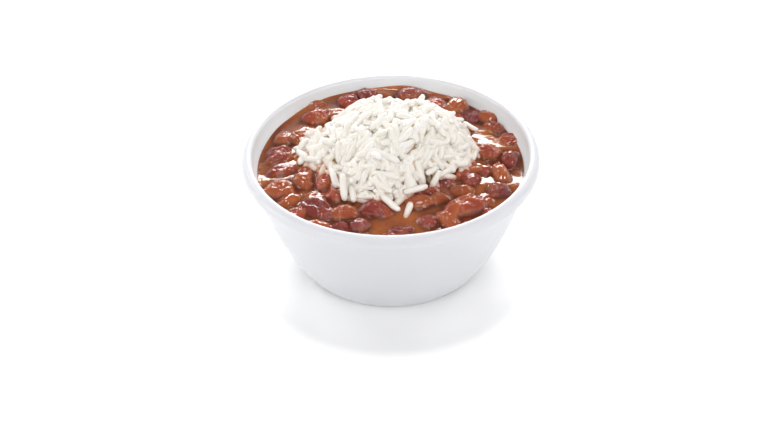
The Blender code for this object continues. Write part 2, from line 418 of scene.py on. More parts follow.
beanPlan = {
    "seed": 21,
    "power": 2.25,        # 2 is an ellipsoid, more is boxier
    "thickness": 0.76,    # share of the width
    "lump": 0.7,          # height of the broad lumps in their skins
    "lumpSpacing": 4.2,
    "fold": 0.85,         # depth of the folds
    "foldSpacing": 3.6,
    "foldWidth": 0.22,
    "fill": 34,           # beans drawn at random, and the space between them
    "fillGap": 6.8,
    "fillTight": 0.8,     # share of that space once they have become hard to place
    "tries": 4000,
    "easyTries": 2500,
    "fillReach": 54.5,
    "heapClear": 0.86,    # share of the heap's edge inside which none are drawn
    "poolClear": 1.4,
    "fillLength": (11.5, 15.5),
    "fillWidth": (8.0, 9.8),
    "fillRise": (0.6, 2.2),
    "fillStyles": ("coated", "sunk", "filmed", "bare"),
    "wallGap": 0.25,
    "around": 38,
    "rows": 25,
    # where the gravy lies open: x, y, reach
    "open": ((-5.5, -44.0, 7.0), (7.0, -37.0, 5.5)),
    # style: gravy over the bean (below 0 it is bare), depth of its wrinkles, skin colour
    "styles": {
        "coated": (0.5, 0.3, paint(166, 80, 54)),
        "filmed": (0.25, 0.5, paint(161, 72, 54)),
        "bare": (0.1, 0.6, paint(150, 66, 54)),
        "bright": (0.0, 0.55, paint(154, 64, 49)),
        "wrinkled": (-0.05, 0.9, paint(144, 66, 58)),
        "purple": (0.05, 0.75, paint(136, 68, 68)),
        "sunk": (0.5, 0.15, paint(160, 78, 52)),
    },
    # x, y, turn, length, width, how far it stands over the gravy, style
    "placed": (
        (-47.9, -16.4, 157, 13.9, 11.5, 2.9, "coated"),
        (-48.3, -2.6, 12, 13.3, 7.5, 2.1, "bright"),
        (-49.4, 6.5, 20, 12.5, 7, 1.8, "bare"),
        (-50.3, 12.5, 30, 12.0, 7.5, 1.8, "wrinkled"),
        (-47.7, 22.9, 76, 10.6, 8.5, 1.6, "sunk"),
        (-37.9, 18.6, 152, 13.5, 7.5, 2.2, "coated"),
        (-34.1, 37.4, 17, 13.3, 10.5, 3.2, "filmed"),
        (-23.5, 38.3, 174, 10.2, 6.5, 1.2, "coated"),
        (-33.7, 46.4, 25, 8.7, 5.5, 0.9, "coated"),
        (-19.5, 49.7, 8, 10.5, 9, 3.2, "bright"),
        (-9.8, 53.2, 150, 12.9, 8, 3, "wrinkled"),
        (9.3, 53.4, 174, 12.0, 7.5, 3.6, "purple"),
        (22.4, 46.3, 146, 12.6, 9, 3.4, "filmed"),
        (30.4, 43.7, 71, 11.5, 10, 5, "coated"),
        (37.5, 37.7, 15, 10.5, 9, 2.8, "purple"),
        (44.3, 37.0, 135, 11.0, 8, 2.6, "coated"),
        (47.0, 29.1, 142, 11.0, 7, 2.4, "bare"),
        (53.0, 19.5, 141, 9.5, 8, 2.2, "filmed"),
        (43.4, 8.7, 166, 11.3, 9, 2.8, "filmed"),
        (52.9, 4.3, 77, 12.2, 8, 3, "bare"),
        (47.8, -5.7, 100, 13.9, 6.5, 3, "coated"),
        (41.2, -3.2, 91, 9.8, 6, 1.5, "bare"),
        (46.1, -18.7, 11, 10.2, 8.5, 2.6, "purple"),
        (34.6, -10.8, 9, 9.5, 8, 2.6, "bright"),
        (23.7, -12.8, 19, 8.5, 7, 2, "purple"),
        (30.3, -31.2, 26, 20.2, 11, 3.6, "filmed"),
        (15.2, -39.5, 6, 10.2, 8.5, 2.2, "wrinkled"),
        (11.7, -26.7, 5, 12.0, 8, 2.2, "coated"),
        (-6.7, -31.8, 167, 14.8, 10.5, 3, "bare"),
        (-19.4, -33.6, 12, 12.1, 9.5, 2.6, "filmed"),
        (-13.4, -41.6, 10, 9.0, 7.5, 2.2, "purple"),
        (-32.6, -30.0, 148, 17.0, 12.0, 3.2, "wrinkled"),
        (-29.7, -10.8, 95, 13.5, 7, 3.2, "filmed"),
        (-24.2, -21.1, 9, 10.5, 9, 2.6, "bare"),
        (-37.1, -9.4, 72, 12.7, 10, 2.2, "sunk"),
        (-21.5, -42.8, 164, 8.3, 5.5, 1.6, "wrinkled"),
        (3.7, -45.3, 179, 10.8, 6, 1.8, "wrinkled"),
        (30.8, -19.0, 16, 10.0, 8, 1.8, "sunk"),
        (20.7, -24.0, 32, 9.3, 7.5, 1.5, "sunk"),
        (36.8, -2.4, 15, 8.5, 7, 1.6, "coated"),
    ),
}


def layBeans():
    # One dictionary a bean: those listed, then others drawn into the gaps between them, less those
    # that would lie where the gravy is open
    plan = beanPlan
    draw = np.random.default_rng(plan["seed"])
    rows = [list(row) for row in plan["placed"]]
    placed = len(rows)
    styles = plan["fillStyles"]
    tries = 0
    while len(rows) < placed + plan["fill"] and tries < plan["tries"]:
        tries += 1
        reach, bearing = plan["fillReach"] * np.sqrt(draw.uniform(0.2, 1)), draw.uniform(0, fullTurn)
        x, y = reach * np.cos(bearing), reach * np.sin(bearing)
        gap = plan["fillGap"] * (1 if tries < plan["easyTries"] else plan["fillTight"])
        pool = min(((x - p[0]) / p[2]) ** 2 + ((y - p[1]) / p[3]) ** 2 for p in levelPlan["pools"])
        nearest = min(np.hypot(x - row[0], y - row[1]) for row in rows)
        if pool < plan["poolClear"] or heapShare(x, y) < plan["heapClear"] or nearest < gap:
            continue
        turn, length = draw.uniform(0, 180), draw.uniform(*plan["fillLength"])
        width, rise = draw.uniform(*plan["fillWidth"]), draw.uniform(*plan["fillRise"])
        rows.append([x, y, turn, length, width, rise, styles[draw.integers(len(styles))]])
    drawn = [row for row in rows[placed:]
             if all(np.hypot(row[0] - x, row[1] - y) > reach for x, y, reach in plan["open"])]
    beans = []
    for x, y, turn, length, width, rise, style in rows[:placed] + drawn:
        coat, wrinkle, tint = plan["styles"][style]
        thick = plan["thickness"] * width
        beans.append({
            "x": x, "y": y, "turn": np.radians(turn),
            "a": length / 2, "b": width / 2, "h": thick / 2,
            "z": float(gravyLevel(np.array(x), np.array(y))) + rise - thick / 2,
            "lean": (draw.uniform(-0.1, 0.1), draw.uniform(-0.12, 0.12)),
            "bend": draw.uniform(0.12, 0.42) * draw.choice((-1, 1)),
            "taper": draw.uniform(-0.12, 0.12),
            "coat": coat, "wrinkle": wrinkle,
            "tint": np.array(tint) * draw.uniform(0.88, 1.1),
            "seed": int(draw.integers(1, 9999)),
        })
    print(f"beans: {len(beans)} laid, {placed} of them by hand")
    return beans


def beanRelief(bean, along, across, crown):
    # Broad lumps, wrinkles drawn out along the bean, and folds, which are grooves 1 - |noise| / width where
    # a noise is near nothing; all fade away at its waist
    plan = beanPlan
    flat = np.stack((along * 0.6, across), axis=-1)
    seed = bean["seed"]
    wrinkles = latticeNoise(flat, 1.9, seed) + 0.5 * latticeNoise(flat, 1.1, seed + 1)
    lumps = latticeNoise(flat, plan["lumpSpacing"], seed + 2)
    folds = np.clip(1 - np.abs(latticeNoise(flat, plan["foldSpacing"], seed + 3)) / plan["foldWidth"], 0, 1)
    depth = plan["fold"] * (0.3 + 0.6 * bean["wrinkle"])
    return (bean["wrinkle"] * wrinkles + plan["lump"] * lumps - depth * folds) * crown


def beanTop(bean, x, y, grow):
    # Height of the bean's upper skin, grown by grow: z + leans + h (1 - |s|^p - |t|^p)^(1/p), falling
    # steeply outside it
    power = beanPlan["power"]
    dx, dy = x - bean["x"], y - bean["y"]
    along = dx * np.cos(bean["turn"]) + dy * np.sin(bean["turn"])
    across = dy * np.cos(bean["turn"]) - dx * np.sin(bean["turn"])
    s = along / (bean["a"] + grow)
    straight = across - bean["bend"] * bean["b"] * ((along / bean["a"]) ** 2 - 0.35)
    t = straight / ((bean["b"] + grow) * (1 + bean["taper"] * np.clip(along / bean["a"], -1, 1)))
    rim = np.abs(s) ** power + np.abs(t) ** power
    crown = np.clip(1 - rim, 0, None) ** (1 / power)
    height = bean["z"] + bean["lean"][0] * along + bean["lean"][1] * across + (bean["h"] + grow) * crown
    height += beanRelief(bean, along, across, crown)
    return height - 2.5 * bean["b"] * np.clip(rim ** (1 / power) - 1, 0, None)


def makeBeans(beans, finish):
    # Each bean is d / (|dx|^p + |dy|^p + |dz|^p)^(1/p) for all directions d, scaled, bent, wrinkled, leaned
    # and turned
    plan = beanPlan
    power = plan["power"]
    polar = np.pi * (np.arange(plan["rows"]) + 1) / (plan["rows"] + 1)
    bearing = evenBearings(plan["around"])
    rings = np.stack((
        np.cos(polar)[:, None] + 0 * bearing,
        np.sin(polar)[:, None] * np.cos(bearing),
        np.sin(polar)[:, None] * np.sin(bearing),
    ), axis=-1).reshape(-1, 3)
    unit = np.concatenate(([[1, 0, 0]], rings, [[-1, 0, 0]]))
    unit = unit / (np.abs(unit) ** power).sum(1, keepdims=True) ** (1 / power)
    points, tints, contactShades = [], [], []
    for bean in beans:
        along = bean["a"] * unit[:, 0]
        across = bean["b"] * unit[:, 1] * (1 + bean["taper"] * unit[:, 0])
        across = across + bean["bend"] * bean["b"] * (unit[:, 0] ** 2 - 0.35)
        crown = np.abs(unit[:, 2])
        height = bean["z"] + bean["lean"][0] * along + bean["lean"][1] * across + bean["h"] * unit[:, 2]
        height += beanRelief(bean, along, across, crown) * np.sign(unit[:, 2])
        x = bean["x"] + along * np.cos(bean["turn"]) - across * np.sin(bean["turn"])
        y = bean["y"] + along * np.sin(bean["turn"]) + across * np.cos(bean["turn"])
        # A bean against the wall is pressed to it
        reach = np.hypot(x, y)
        inward = np.minimum(1, (innerRadius(height) - plan["wallGap"]) / reach)
        points.append(np.column_stack((x * inward, y * inward, height)))
        tints.append(np.tile(bean["tint"], (len(unit), 1)))
        # Painted shade: 1 up to 0.3 mm under the gravy's level, fading out by 1.4 mm above it
        contactShades.append(1 - smoothStep(-0.3, 1.4, height - gravyLevel(x, y)))
    quads, triangles = shellFaces(plan["rows"], plan["around"])
    quads = repeatFaces(quads, len(beans), len(unit))
    triangles = repeatFaces(triangles, len(beans), len(unit))
    tints = np.concatenate(tints)
    tints[:, 3] = 1
    attributes = {"tint": tints, "low": np.concatenate(contactShades)}
    return makePiece("red_beans", np.concatenate(points), quads, triangles, finish, attributes)


# Both the beans and the gravy: a clear wet coat over a weak gloss of their own
wetInputs = {
    "Specular IOR Level": 0.35,
    "Coat Weight": 0.6,
    "Coat Roughness": 0.05,
    "Coat IOR": 1.36,
    "Subsurface Scale": 1.0,
}


def beanFinish():
    # Each bean's own tint, mottled, with gravy filmed over it in places, and painted shade where it goes
    # under
    finish, tree, shader = newFinish("wetBeanSkin")
    mottle = addRange(tree, addNoise(tree, 420, 4, 0.6), 0.35, 0.7, 0, 1)
    skin = addMix(tree, mottle, addAttribute(tree, "tint", "Color"), paint(110, 40, 32))
    film = addRange(tree, addNoise(tree, 210, 4, 0.6), 0.52, 0.68, 0, 0.6)
    skin = addMix(tree, film, skin, paint(164, 86, 60))
    # Painted shade, mixed towards dark brown where the bean goes under the gravy
    low = addRange(tree, addAttribute(tree, "low"), 0, 1, 0, 0.75)
    fine = addBump(tree, addNoise(tree, 1800, 3), 0.25, 0.0002)
    setInputs(tree, shader, {
        **wetInputs,
        "Base Color": addMix(tree, low, skin, paint(84, 32, 22)),
        "Roughness": addRange(tree, addNoise(tree, 330, 4, 0.6), 0.38, 0.65, 0.09, 0.3),
        "Normal": addBump(tree, addNoise(tree, 550, 3), 0.8, 0.0006, fine),
        "IOR": 1.42,
        "Subsurface Weight": 0.12,
        "Subsurface Radius": (0.0016, 0.0005, 0.0004),
    })
    return finish


beans = layBeans()
redBeans = makeBeans(beans, beanFinish())
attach(redBeans, "root")


gravyPlan = {
    "around": 860,
    "rows": 92,           # from under the heap's edge out to the wall
    "bank": 0.84,         # where its rows start, as a share of the heap's edge
    "under": 45.5,        # its height under the heap
    "base": 18.0,         # radius of its last ring over the floor
    "nearWall": 57.0,     # radius at which the wall's height is first read
    "crowd": 0.92,        # below 1 the rows lie closer together towards the wall
    "overlap": 0.35,      # how far it reaches into the wall
    "fillet": 1.3,        # width of the gravy drawn up round each bean
    "climb": 0.8,         # gravy drawn up the wall
    "climbWidth": 1.1,
    "patch": 0.24,        # how unevenly it covers the beans
    "patchSpacing": 5.5,
    "coatMost": 1.2,
    "ripple": 0.04,
    "rippleSpacing": 2.2,
    "thin": 0.7,          # depth at which a bean's colour is mostly hidden
    # Painted shade in the creases between beans: blur passes, and the depth at which it is darkest
    "creaseShadeBlur": 70,
    "creaseShadeDepth": 0.8,   # depth of a crease between beans at which its gravy is darkest
}


def gravySurface(x, y):
    # The level and every bean's gravy skin, joined by smoothTop; also what is seen of the bean below, and
    # its colour
    plan = gravyPlan
    flat = np.stack((x, y), axis=-1)
    height = gravyLevel(x, y)
    cover = plan["patch"] * layeredNoise(flat, plan["patchSpacing"], 31, 2)
    beanSkin = np.full(x.shape, -99.0)
    tint = np.zeros(x.shape + (4,))
    for bean in beans:
        near = np.hypot(x - bean["x"], y - bean["y"]) < bean["a"] + 4
        if not near.any():
            continue
        nearX, nearY = x[near], y[near]
        grow = np.clip(bean["coat"] + cover[near], -plan["coatMost"], plan["coatMost"])
        height[near] = smoothTop(height[near], beanTop(bean, nearX, nearY, grow), plan["fillet"])
        skin = beanTop(bean, nearX, nearY, 0)
        higher = skin > beanSkin[near]
        tint[near] = np.where(higher[:, None], bean["tint"], tint[near])
        beanSkin[near] = np.maximum(skin, beanSkin[near])
    height = height + plan["ripple"] * layeredNoise(flat, plan["rippleSpacing"], 47, 2)
    seen = np.exp(-np.clip(height - beanSkin, 0, 9) / plan["thin"])
    return height, seen, tint


def smearRise(bearing):
    # Gravy pushed up the wall: rise exp(-(bearing off the smear / its width)^2)
    off = np.degrees(bearing) - levelPlan["smearBearing"]
    off = (off + 180) % 360 - 180
    return levelPlan["smearRise"] * np.exp(-(off / levelPlan["smearWidth"]) ** 2)


def makeGravy(finish):
    # Rings from the heap's middle out under its edge, over the beans to the wall, down the wall, round the
    # corner and in over the floor. The top is gravySurface plus (climb + smear) exp(-gap to the wall /
    # climbWidth).
    plan = gravyPlan
    bearing = evenBearings(plan["around"])
    away = np.stack((np.cos(bearing), np.sin(bearing)), axis=-1)
    centre = np.array(heapPlan["centre"])
    bank = centre + away * plan["bank"] * heapEdge(bearing)[:, None]
    # The wall's radius where the gravy meets it
    nearWall = plan["nearWall"] * away
    wall = innerRadius(gravyLevel(nearWall[:, 0], nearWall[:, 1]) + plan["climb"])
    wallPoint = away * (wall + plan["overlap"])[:, None]
    share = np.linspace(0, 1, plan["rows"]) ** plan["crowd"]
    flat = bank + share[:, None, None] * (wallPoint - bank)
    under = centre + np.linspace(0.25, 0.85, 3)[:, None, None] * (bank - centre)
    x, y = flat[..., 0], flat[..., 1]
    height, seen, tint = gravySurface(x, y)
    reach = np.hypot(x, y)
    toWall = np.clip(innerRadius(height) - reach, 0, None)
    height = height + (plan["climb"] + smearRise(bearing)) * np.exp(-toWall / plan["climbWidth"])
    # The last rows move to where the wall is at the gravy's own height
    edgeReach = innerRadius(height[-1]) + plan["overlap"]
    reach = reach + smoothStep(0.9, 1, share)[:, None] * (edgeReach - reach[-1])
    turned = np.arctan2(y, x)
    # Painted shade: how far the surface lies below its blurred self, 1 at creaseShadeDepth
    hollow = np.clip((blurGrid(height, plan["creaseShadeBlur"]) - height) / plan["creaseShadeDepth"], 0, 1)
    top = ringPoints(reach, turned, height)
    underTop = np.concatenate((under, np.full(under.shape[:2] + (1,), plan["under"])), axis=-1)
    # Down the wall, round the corner and in over the floor
    low = bowlPlan["floor"] + bowlPlan["stations"][0][0]
    sideHeight = low + np.linspace(0.9, 0, 8)[:, None] * (height[-1] - low)
    sideReach = innerRadius(sideHeight) + plan["overlap"]
    side = ringPoints(sideReach, bearing, sideHeight)
    bottom = bowlPlan["floor"] - plan["overlap"]
    outward = np.array((plan["overlap"], -plan["overlap"]))
    corner = cornerPath(innerRadius(low), bowlPlan["floor"], 4)[1:] + outward
    floor = np.concatenate((corner, [(plan["base"], bottom)]))
    base = ringPoints(floor[:, :1], bearing, floor[:, 1:])
    rings = np.concatenate((underTop, top, side, base))
    points = np.concatenate(([[*centre, plan["under"]]], rings.reshape(-1, 3), [[0, 0, bottom]]))

    def spread(values, fill):
        # Values on the top rows as one value a point, fill elsewhere
        out = np.full((len(rings),) + values.shape[1:], fill, float)
        out[len(under):len(under) + plan["rows"]] = values
        flatOut = out.reshape((-1,) + values.shape[2:])
        edgeValue = np.full((1,) + flatOut.shape[1:], fill, float)
        return np.concatenate((edgeValue, flatOut, edgeValue))

    quads, triangles = shellFaces(len(rings), plan["around"])
    attributes = {"beanSeen": spread(seen, 0), "tint": spread(tint, 1), "creaseShade": spread(hollow, 1)}
    return makePiece("gravy", points, quads, triangles, finish, attributes)


def gravyFinish():
    # Orange-brown, clouded and specked, with the bean's tint where its cover is thin, and painted shade in
    # the creases
    finish, tree, shader = newFinish("beanGravy")
    broad = addRange(tree, addNoise(tree, 75, 3), 0.35, 0.65, 0, 1)
    body = addMix(tree, broad, paint(149, 78, 44), paint(179, 103, 57))
    speck = addRange(tree, addNoise(tree, 480, 5, 0.65), 0.55, 0.75, 0, 0.5)
    body = addMix(tree, speck, body, paint(112, 48, 26))
    seen = addRange(tree, addAttribute(tree, "beanSeen"), 0.05, 1, 0, 0.95)
    body = addMix(tree, seen, body, addAttribute(tree, "tint", "Color"))
    # Painted shade, mixed towards dark brown in the creases
    creaseShade = addRange(tree, addAttribute(tree, "creaseShade"), 0, 1, 0, 0.8)
    fine = addBump(tree, addNoise(tree, 1500, 2), 0.12, 0.0002)
    setInputs(tree, shader, {
        **wetInputs,
        "Base Color": addMix(tree, creaseShade, body, paint(82, 32, 18)),
        "Roughness": addRange(tree, addNoise(tree, 220, 4, 0.6), 0.38, 0.65, 0.07, 0.22),
        "Normal": addBump(tree, addNoise(tree, 420, 3), 0.28, 0.0006, fine),
        "IOR": 1.4,
        "Subsurface Weight": 0.15,
        "Subsurface Radius": (0.0026, 0.0010, 0.0005),
    })
    return finish


gravy = makeGravy(gravyFinish())
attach(gravy, "root")
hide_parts("bean_stew")


grainPlan = {
    "seed": 5,
    "most": 1500,
    "length": (8.6, 12.2),
    "width": (2.8, 3.6),
    "thickness": 0.86,    # share of the width
    "broken": 0.1,        # share of grains that are broken short
    "brokenLength": (0.45, 0.7),
    "nestle": 0.46,       # how far a grain beds into those below, as a share of its thickness
    "bed": 5.0,           # how deep the grains go
    "sink": 0.9,          # how far the lowest grains stand in the gravy
    "raised": 0.5,        # share of grains with one end turned up
    "raisedIn": 1.05,     # how steeply at most, near the top
    "raisedOut": 1.15,    # how steeply at most, near the heap's edge
    "steepest": 1.5,      # slope of the steepest grain
    "ceiling": 70.9,      # height that no dropped or pressed grain passes
    # Painted shade: the depth between grains at which the painted warm shade is strongest
    "gapShadeDepth": 1.8,      # how far down between grains they are at their warmest
    "pressed": 580,       # grains then pressed in anywhere
    "pressedDepth": (-0.9, 0.45),  # their middles over the blurred ground
    "pressedTurn": 0.28,  # how far their slopes stray from the ground's
    "leastGap": 0.4,      # where less than this is missing, the heap is full
    "proud": 1.25,        # how far a grain may stand over the heap's surface
    "patience": 3500,     # drops that find no place before the heap is called full
    "cell": 0.5,          # spacing of the ground's grid, and half its width
    "reach": 50.0,
    "bend": 0.9,          # how far a grain bends sideways at most
    "strayBend": 0.3,     # share of that bend in the loose grains
    "sag": (-0.8, 0.2),   # how far its ends hang or rise
    "taper": 0.16,
    "fat": 0.05,
    "stain": 1.1,         # height over the gravy in which its stain fades
    "straySink": 0.6,     # how far a loose grain sinks, and the most that a bean lifts it
    "strayLift": 1.5,
    "around": 8,
    "rings": (0.97, 0.86, 0.5, 0.0, -0.5, -0.86, -0.97),
    # x, y, turn, tilt, length, width, lift of its middle over the gravy
    "strays": (
        (-20.3, -22.6, -84, -42, 12.0, 3.3, 4.4),
        (-16.5, -24.2, -80, -25, 8.5, 3.0, 3.2),
        (-0.5, -31.1, -50, -8, 12.0, 3.2, 2.8),
        (10.5, -22.9, 18, 5, 11.0, 3.2, 3.2),
        (7.1, -33.0, 72, 14, 9.4, 3.0, 1.4),
        (19.1, -15.2, 58, 35, 9.5, 3.1, 3.8),
        (36.2, 26.2, -52, 4, 10.0, 2.5, 1.8),
        (0.9, -22.8, 44, 20, 10.0, 3.1, 4.2),
        (-24.5, -16.0, -69, -35, 9.5, 3.0, 4.6),
        (-39.3, 5.0, -62, 10, 9.0, 3.0, 3.4),
        (-35.6, 1.0, -25, 14, 9.8, 3.0, 3.6),
        (28.5, -5.3, -10, 6, 10.6, 3.4, 3.6),
        (-33.0, 18.9, 62, 20, 8.0, 2.8, 4.4),
        (-11.5, -25.6, -8, 5, 8.5, 3.0, 2.8),
        (-38.5, 13.3, 47, 15, 7.5, 3.0, 4.0),
    ),
}


def heapSurface(x, y):
    # Shoulder + (top - shoulder) (1 - share^2)^fall (1 + lean share cos bearing), with lumps, under the cap
    plan = heapPlan
    share = np.clip(heapShare(x, y), 0, 1)
    dx, dy = x - plan["centre"][0], y - plan["centre"][1]
    dome = (1 - share ** 2) ** plan["fall"] * (1 + plan["lean"] * share * dx / (np.hypot(dx, dy) + 0.001))
    lump = layeredNoise(np.stack((x, y), axis=-1), plan["lumpSpacing"], 77, 2)
    height = plan["shoulder"] + (plan["top"] - plan["shoulder"]) * dome + plan["lump"] * (lump - 0.3) * dome
    return -smoothTop(-height, -plan["cap"], plan["capRound"])


def supportLine(offsets, heights, side):
    # The lowest line over all the heights that is held up on both sides of the middle: its height there and
    # its slope
    middle = len(offsets) // 2
    left, right = slice(0, middle), slice(middle + 1, None)
    leftAt, rightAt = offsets[left][:, None], offsets[right][None]
    leftHigh, rightHigh = heights[left][:, None], heights[right][None]
    crossing = (leftHigh * rightAt - rightHigh * leftAt) / (rightAt - leftAt)
    slope = (rightHigh - leftHigh) / (rightAt - leftAt)
    best = np.unravel_index(crossing.argmax(), crossing.shape)
    if crossing[best] >= heights[middle]:
        return crossing[best], slope[best]
    down = ((heights[right] - heights[middle]) / offsets[right]).max()
    up = ((heights[left] - heights[middle]) / offsets[left]).min()
    return heights[middle], down if side else up


def layGrain(draw, axis, ground, goal, centreX, centreY, length, width):
    # One try at a grain: its bearing is drawn, and its slope and height are those at which it rests on the
    # ground. Its score is worse the further it stands over the heap's surface and the more room it leaves
    # below it.
    plan = grainPlan
    thick = plan["thickness"] * width
    turn = draw.uniform(0, np.pi)
    alongX, alongY = np.cos(turn), np.sin(turn)
    sideways = np.array((-0.3, 0, 0.3)) * width
    slope = 0.0
    for _ in range(2):
        offsets = np.linspace(-1, 1, 9) * 0.46 * length / np.hypot(1, slope)
        x = centreX + offsets[:, None] * alongX - sideways * alongY
        y = centreY + offsets[:, None] * alongY + sideways * alongX
        row = np.clip(np.rint((x - axis[0]) / plan["cell"]).astype(int), 0, len(axis) - 1)
        col = np.clip(np.rint((y - axis[0]) / plan["cell"]).astype(int), 0, len(axis) - 1)
        under = ground[row, col].max(1)
        rest, slope = supportLine(offsets, under, draw.random() < 0.5)
        slope = float(np.clip(slope, -1.4, 1.4))
    stretch = np.hypot(1, slope)
    high = rest + (0.5 - plan["nestle"]) * thick * stretch
    over = (high + slope * offsets + 0.5 * thick * stretch - goal[row[:, 1], col[:, 1]]).max()
    score = 1.2 * max(over, 0) + high - under.mean() + draw.uniform(0, 1.5)
    return over, score, turn, slope, high


def pressGrains(draw, axis, soft, picks):
    # Each pressed grain follows the slope of the blurred ground, more or less, part sunk in it
    plan = grainPlan
    count = len(picks)
    x, y = axis[np.array(np.unravel_index(picks, soft.shape))]
    turn = draw.uniform(0, np.pi, count)
    stepX, stepY = 2.5 * np.cos(turn), 2.5 * np.sin(turn)
    slope = (readGrid(soft, axis, x + stepX, y + stepY) - readGrid(soft, axis, x - stepX, y - stepY)) / 5
    slope = np.clip(slope + draw.normal(0, plan["pressedTurn"], count), -plan["steepest"], plan["steepest"])
    length, width = draw.uniform(*plan["length"], count), draw.uniform(*plan["width"], count)
    tip = 0.5 * length * np.abs(np.sin(np.arctan(slope))) + 0.5 * plan["thickness"] * width
    high = np.minimum(soft.ravel()[picks] + draw.uniform(*plan["pressedDepth"], count), plan["ceiling"] - tip)
    return list(zip(x, y, high, turn, np.arctan(slope), length, width))


def settleGrains():
    # Grains are dropped one by one where the heap is furthest below its surface. Each lies on what is under
    # it, and some then turn one end up. Others are pressed in anywhere. Also gives the ground they make, as
    # a grid.
    plan = grainPlan
    draw = np.random.default_rng(plan["seed"])
    axis = np.arange(-plan["reach"], plan["reach"] + plan["cell"] / 2, plan["cell"])
    gridX, gridY = np.meshgrid(axis, axis, indexing="ij")
    surface, _, _ = gravySurface(gridX.ravel(), gridY.ravel())
    goal = heapSurface(gridX, gridY)
    ground = np.maximum(surface.reshape(gridX.shape) - plan["sink"], goal - plan["bed"])
    spent = np.zeros_like(goal)
    inside = np.flatnonzero(heapShare(gridX, gridY).ravel() < 1.0)
    grains = []
    misses = 0
    while len(grains) < plan["most"] and misses < plan["patience"]:
        picks = inside[draw.integers(len(inside), size=40)]
        gaps = (goal - ground - spent).ravel()[picks]
        pick = picks[gaps.argmax()]
        if gaps.max() < plan["leastGap"]:
            misses += 1
            continue
        centreX, centreY = gridX.ravel()[pick], gridY.ravel()[pick]
        length = draw.uniform(*plan["length"])
        if draw.random() < plan["broken"]:
            length *= draw.uniform(*plan["brokenLength"])
        width = draw.uniform(*plan["width"])
        thick = plan["thickness"] * width
        most = plan["raisedOut"] if heapShare(centreX, centreY) > 0.45 else plan["raisedIn"]
        raised = 0.0
        if draw.random() < plan["raised"]:
            raised = draw.uniform(0.2, most) * draw.choice((-1, 1))
        tries = [layGrain(draw, axis, ground, goal, centreX, centreY, length, width) for _ in range(5)]
        fits = [fit for fit in tries if fit[0] < plan["proud"]]
        dx, dy = gridX - centreX, gridY - centreY
        if not fits:
            misses += 1
            spent += 0.8 * np.exp(-(dx * dx + dy * dy) / 2)
            continue
        _, _, turn, slope, high = min(fits, key=lambda fit: fit[1])
        slope = float(np.clip(slope + raised, -plan["steepest"], plan["steepest"]))
        high -= 0.12 * length * abs(raised)
        stretch = np.hypot(1, slope)
        tip = high + 0.5 * length * abs(slope) / stretch + 0.5 * thick / stretch
        high -= max(tip - plan["ceiling"], 0)
        grains.append((centreX, centreY, high, turn, np.arctan(slope), length, width))
        # Raise the ground under the new grain
        along = dx * np.cos(turn) + dy * np.sin(turn)
        across = dy * np.cos(turn) - dx * np.sin(turn)
        share = np.abs(along * stretch / (0.5 * length))
        body = np.clip(1 - share ** 5, 0, 1) * np.clip(1 - (across / (0.5 * width)) ** 2, 0, 1)
        crown = high + slope * along + 0.5 * thick * stretch * np.sqrt(body)
        ground = np.where(body > 0, np.maximum(ground, crown), ground)
    left = (goal - ground).ravel()[inside]
    print(f"rice: {len(grains)} grains settled, {misses} misses, {left.mean():.2f} mm still to fill")
    picks = inside[draw.integers(len(inside), size=plan["pressed"])]
    grains += pressGrains(draw, axis, blurGrid(ground, heapPlan["blur"]), picks)
    return grains, ground, axis, draw


def readGrid(field, axis, x, y):
    # Value at x and y, mixed from the grid's four nearest points
    spacing = axis[1] - axis[0]
    at = np.stack(((x - axis[0]) / spacing, (y - axis[0]) / spacing))
    low = np.clip(np.floor(at).astype(int), 0, len(axis) - 2)
    u, v = np.clip(at - low, 0, 1)
    i, j = low
    return ((1 - u) * (1 - v) * field[i, j] + u * (1 - v) * field[i + 1, j]
            + (1 - u) * v * field[i, j + 1] + u * v * field[i + 1, j + 1])


corePlan = {
    "around": 220,
    "rows": 70,
    "edge": 0.97,         # where it ends, as a share of the heap's edge
    "packed": 0.5,        # how far it stays below the ground that the grains make
    "loose": 3.7,         # the same at its edge
    "fused": 0.75,        # how much higher it stands round the top
    "hollow": 1.8,        # depth of the few holes
    "hollowSpacing": 3.6,
    "lowest": 44.0,       # least height of its top
    "bottom": 43.5,
}


def makeCore(finish, ground, axis):
    # Rice pressed between the grains: their blurred ground, lowered by depth times sqrt(1 + slope^2), in
    # rings from the middle out, flat underneath. The attribute deep, the mask of its painted shade, is 1
    # where it lies far below the grains.
    plan = corePlan
    centre = heapPlan["centre"]
    soft = blurGrid(ground, heapPlan["blur"])
    bearing = evenBearings(plan["around"])
    share = np.sin(np.pi / 2 * (np.arange(plan["rows"]) + 1) / plan["rows"])[:, None]
    reach = plan["edge"] * share * heapEdge(bearing)
    x = centre[0] + reach * np.cos(bearing)
    y = centre[1] + reach * np.sin(bearing)
    dent = latticeNoise(np.stack((x, y), axis=-1), plan["hollowSpacing"], 91)
    across, along = np.gradient(soft, axis[1] - axis[0])
    steep = readGrid(np.sqrt(1 + across ** 2 + along ** 2), axis, x, y)
    lower = plan["packed"] + (plan["loose"] - plan["packed"]) * smoothStep(0.5, 0.97, share)
    lower = lower - plan["fused"] * (1 - smoothStep(0.15, 0.6, share))
    lower = lower + plan["hollow"] * smoothStep(0.42, 0.6, dent)
    height = np.maximum(readGrid(soft, axis, x, y) - lower * steep, plan["lowest"])
    top = np.stack((x, y, height), axis=-1)
    bottom = top[-1:] * (1, 1, 0) + (0, 0, plan["bottom"])
    rings = np.concatenate((top, bottom))
    first, last = [[*centre, height[0].mean()]], [[*centre, plan["bottom"]]]
    points = np.concatenate((first, rings.reshape(-1, 3), last))
    quads, triangles = shellFaces(len(rings), plan["around"])
    # Painted shade: deep grows as the core lies further below the grains
    deep = np.repeat(smoothStep(0.3, 2.0, np.mean(lower, axis=1)), plan["around"])
    deep = np.concatenate(([deep[0]], deep, [1] * (plan["around"] + 1)))
    return makePiece("rice_core", points, quads, triangles, finish, {"deep": deep})


